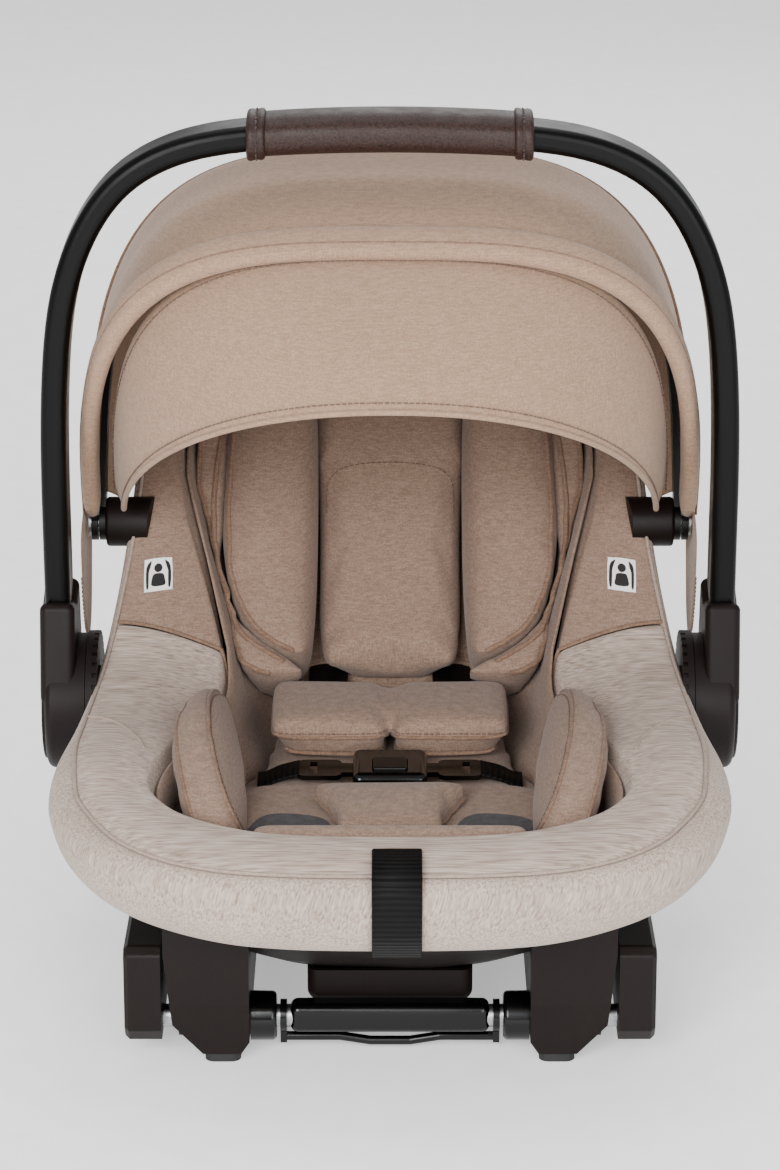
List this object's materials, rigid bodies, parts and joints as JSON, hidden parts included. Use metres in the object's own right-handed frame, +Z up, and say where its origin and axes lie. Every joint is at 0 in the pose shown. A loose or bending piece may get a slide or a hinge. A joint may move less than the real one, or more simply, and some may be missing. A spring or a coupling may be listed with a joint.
{
  "type": "infant car seat",
  "caption": "Rear-facing infant car seat with carry handle, folding canopy with visor, padded infant insert, harness and fold-out rigid lower anchors",
  "frame": {"origin": "on the floor, under the middle of the seat's box", "axes": "+Z up, +Y towards the head end, X across the seat"},
  "size_m": [0.4396, 0.606, 0.537],
  "materials": {
    "shell_plastic": "brown-black moulded polypropylene, fine matt texture",
    "eps_foam": "moulded expanded polystyrene beads",
    "melange_knit": "light grey-beige melange knit with long slubs, foam backed",
    "taupe_knit": "warm taupe heathered knit, foam backed",
    "canopy_knit": "warm taupe stretch canopy fabric, stitched hem",
    "leatherette": "dark brown pebbled leatherette, stitched",
    "tube_metal": "satin black powder-coated aluminium tube",
    "steel": "zinc-plated steel",
    "gloss_black": "gloss black moulded plastic",
    "webbing": "black polyester webbing, ribbed weave",
    "rubber_black": "black rubber",
    "button_plastic": "brown-black moulded button",
    "buckle_key": "black moulded release button"
  },
  "bodies": {
    "root": {"shell_tub": "shell_plastic", "base_rail_left": "shell_plastic", "base_rail_right": "shell_plastic", "harness_guard": "shell_plastic", "hub_bosses": "shell_plastic", "canopy_mounts": "shell_plastic", "adjuster_housing": "shell_plastic", "foam_liner": "eps_foam", "rim_cover": "melange_knit", "seat_lining": "taupe_knit", "side_panels": "taupe_knit", "back_pad": "taupe_knit", "seat_pad": "taupe_knit", "insert_base": "taupe_knit", "head_ring": "taupe_knit", "head_wings": "taupe_knit", "centre_panel": "taupe_knit", "side_bolsters": "taupe_knit", "front_roll": "taupe_knit", "shoulder_pads": "taupe_knit", "crotch_pad": "taupe_knit", "canopy_side_flaps": "canopy_knit", "hub_pins": "steel", "canopy_rivets": "steel", "harness_yoke": "steel", "buckle_housing": "gloss_black", "buckle_tongues": "gloss_black", "rod_bushings": "gloss_black", "shoulder_straps": "webbing", "lap_straps": "webbing", "crotch_strap": "webbing", "adjuster_strap": "webbing", "harness_strap_under": "webbing", "foot_pads": "rubber_black"},
    "handle": {"handle_tube": "tube_metal", "handle_grip": "leatherette", "grip_cuffs": "leatherette", "handle_hub_left": "shell_plastic", "handle_hub_right": "shell_plastic", "hub_caps": "shell_plastic", "button_springs": "steel"},
    "handle_button_left": {"handle_button_left": "button_plastic"},
    "handle_button_right": {"handle_button_right": "button_plastic"},
    "canopy_mid": {"canopy_mid_bow": "shell_plastic", "canopy_rear_panel": "canopy_knit"},
    "canopy_front": {"canopy_front_bow": "shell_plastic", "canopy_front_panel": "canopy_knit"},
    "visor": {"canopy_visor": "canopy_knit"},
    "latch_arms": {"latch_arm_left": "shell_plastic", "latch_arm_right": "shell_plastic", "torsion_rod": "steel", "rod_sleeve": "gloss_black", "claw_pins": "steel"},
    "claw_left": {"latch_claw_left": "steel"},
    "claw_right": {"latch_claw_right": "steel"},
    "release_left": {"latch_release_left": "button_plastic"},
    "release_right": {"latch_release_right": "button_plastic"},
    "release_bar": {"release_bar": "gloss_black"},
    "buckle_button": {"buckle_button": "buckle_key"},
    "adjuster_button": {"adjuster_button": "button_plastic"}
  },
  "joints": [
    {"name": "handle_swing", "type": "hinge", "parent": "root", "child": "handle", "pos_m": [0, -0.01, 0.155], "axis": [-1, 0, 0], "range_deg": [0, 106]},
    {"name": "handle_button_left_press", "type": "slide", "parent": "handle", "child": "handle_button_left", "axis": [-1, 0, 0], "range_m": [0, 0.005], "stiffness_N_per_m": 400},
    {"name": "handle_button_right_press", "type": "slide", "parent": "handle", "child": "handle_button_right", "axis": [1, 0, 0], "range_m": [0, 0.005], "stiffness_N_per_m": 400},
    {"name": "canopy_mid_fold", "type": "hinge", "parent": "root", "child": "canopy_mid", "pos_m": [0, 0.06, 0.252], "axis": [-1, 0, 0], "range_deg": [0, 38], "deforming": ["canopy_rear_panel"]},
    {"name": "canopy_front_fold", "type": "hinge", "parent": "canopy_mid", "child": "canopy_front", "pos_m": [0, 0.06, 0.252], "axis": [-1, 0, 0], "range_deg": [0, 33], "deforming": ["canopy_front_panel"]},
    {"name": "visor_tuck", "type": "hinge", "parent": "canopy_front", "child": "visor", "pos_m": [0, 0.06, 0.252], "axis": [-1, 0, 0], "range_deg": [0, 10], "deforming": ["canopy_visor"]},
    {"name": "latch_swing", "type": "hinge", "parent": "root", "child": "latch_arms", "pos_m": [0, -0.2, 0.022], "axis": [-1, 0, 0], "range_deg": [0, 165]},
    {"name": "claw_left_open", "type": "hinge", "parent": "latch_arms", "child": "claw_left", "pos_m": [0.14, -0.076, 0.04], "axis": [1, 0, 0], "range_deg": [0, 25], "stiffness_Nm_per_rad": 0.05},
    {"name": "claw_right_open", "type": "hinge", "parent": "latch_arms", "child": "claw_right", "pos_m": [-0.14, -0.076, 0.04], "axis": [1, 0, 0], "range_deg": [0, 25], "stiffness_Nm_per_rad": 0.05},
    {"name": "release_left_slide", "type": "slide", "parent": "latch_arms", "child": "release_left", "axis": [0, -1, 0], "range_m": [0, 0.007]},
    {"name": "release_right_slide", "type": "slide", "parent": "latch_arms", "child": "release_right", "axis": [0, -1, 0], "range_m": [0, 0.007]},
    {"name": "release_bar_pull", "type": "hinge", "parent": "latch_arms", "child": "release_bar", "pos_m": [0, -0.2, 0.022], "axis": [-1, 0, 0], "range_deg": [0, 18], "stiffness_Nm_per_rad": 0.05},
    {"name": "buckle_button_press", "type": "slide", "parent": "root", "child": "buckle_button", "axis": [0, 0, -1], "range_m": [0, 0.002], "stiffness_N_per_m": 600},
    {"name": "adjuster_press", "type": "slide", "parent": "root", "child": "adjuster_button", "axis": [0, 0, -1], "range_m": [0, 0.003], "stiffness_N_per_m": 500}
  ],
  "couplings": [
    {"joint": "canopy_front_fold", "follows": "canopy_mid_fold", "ratio": 0.86755}
  ]
}
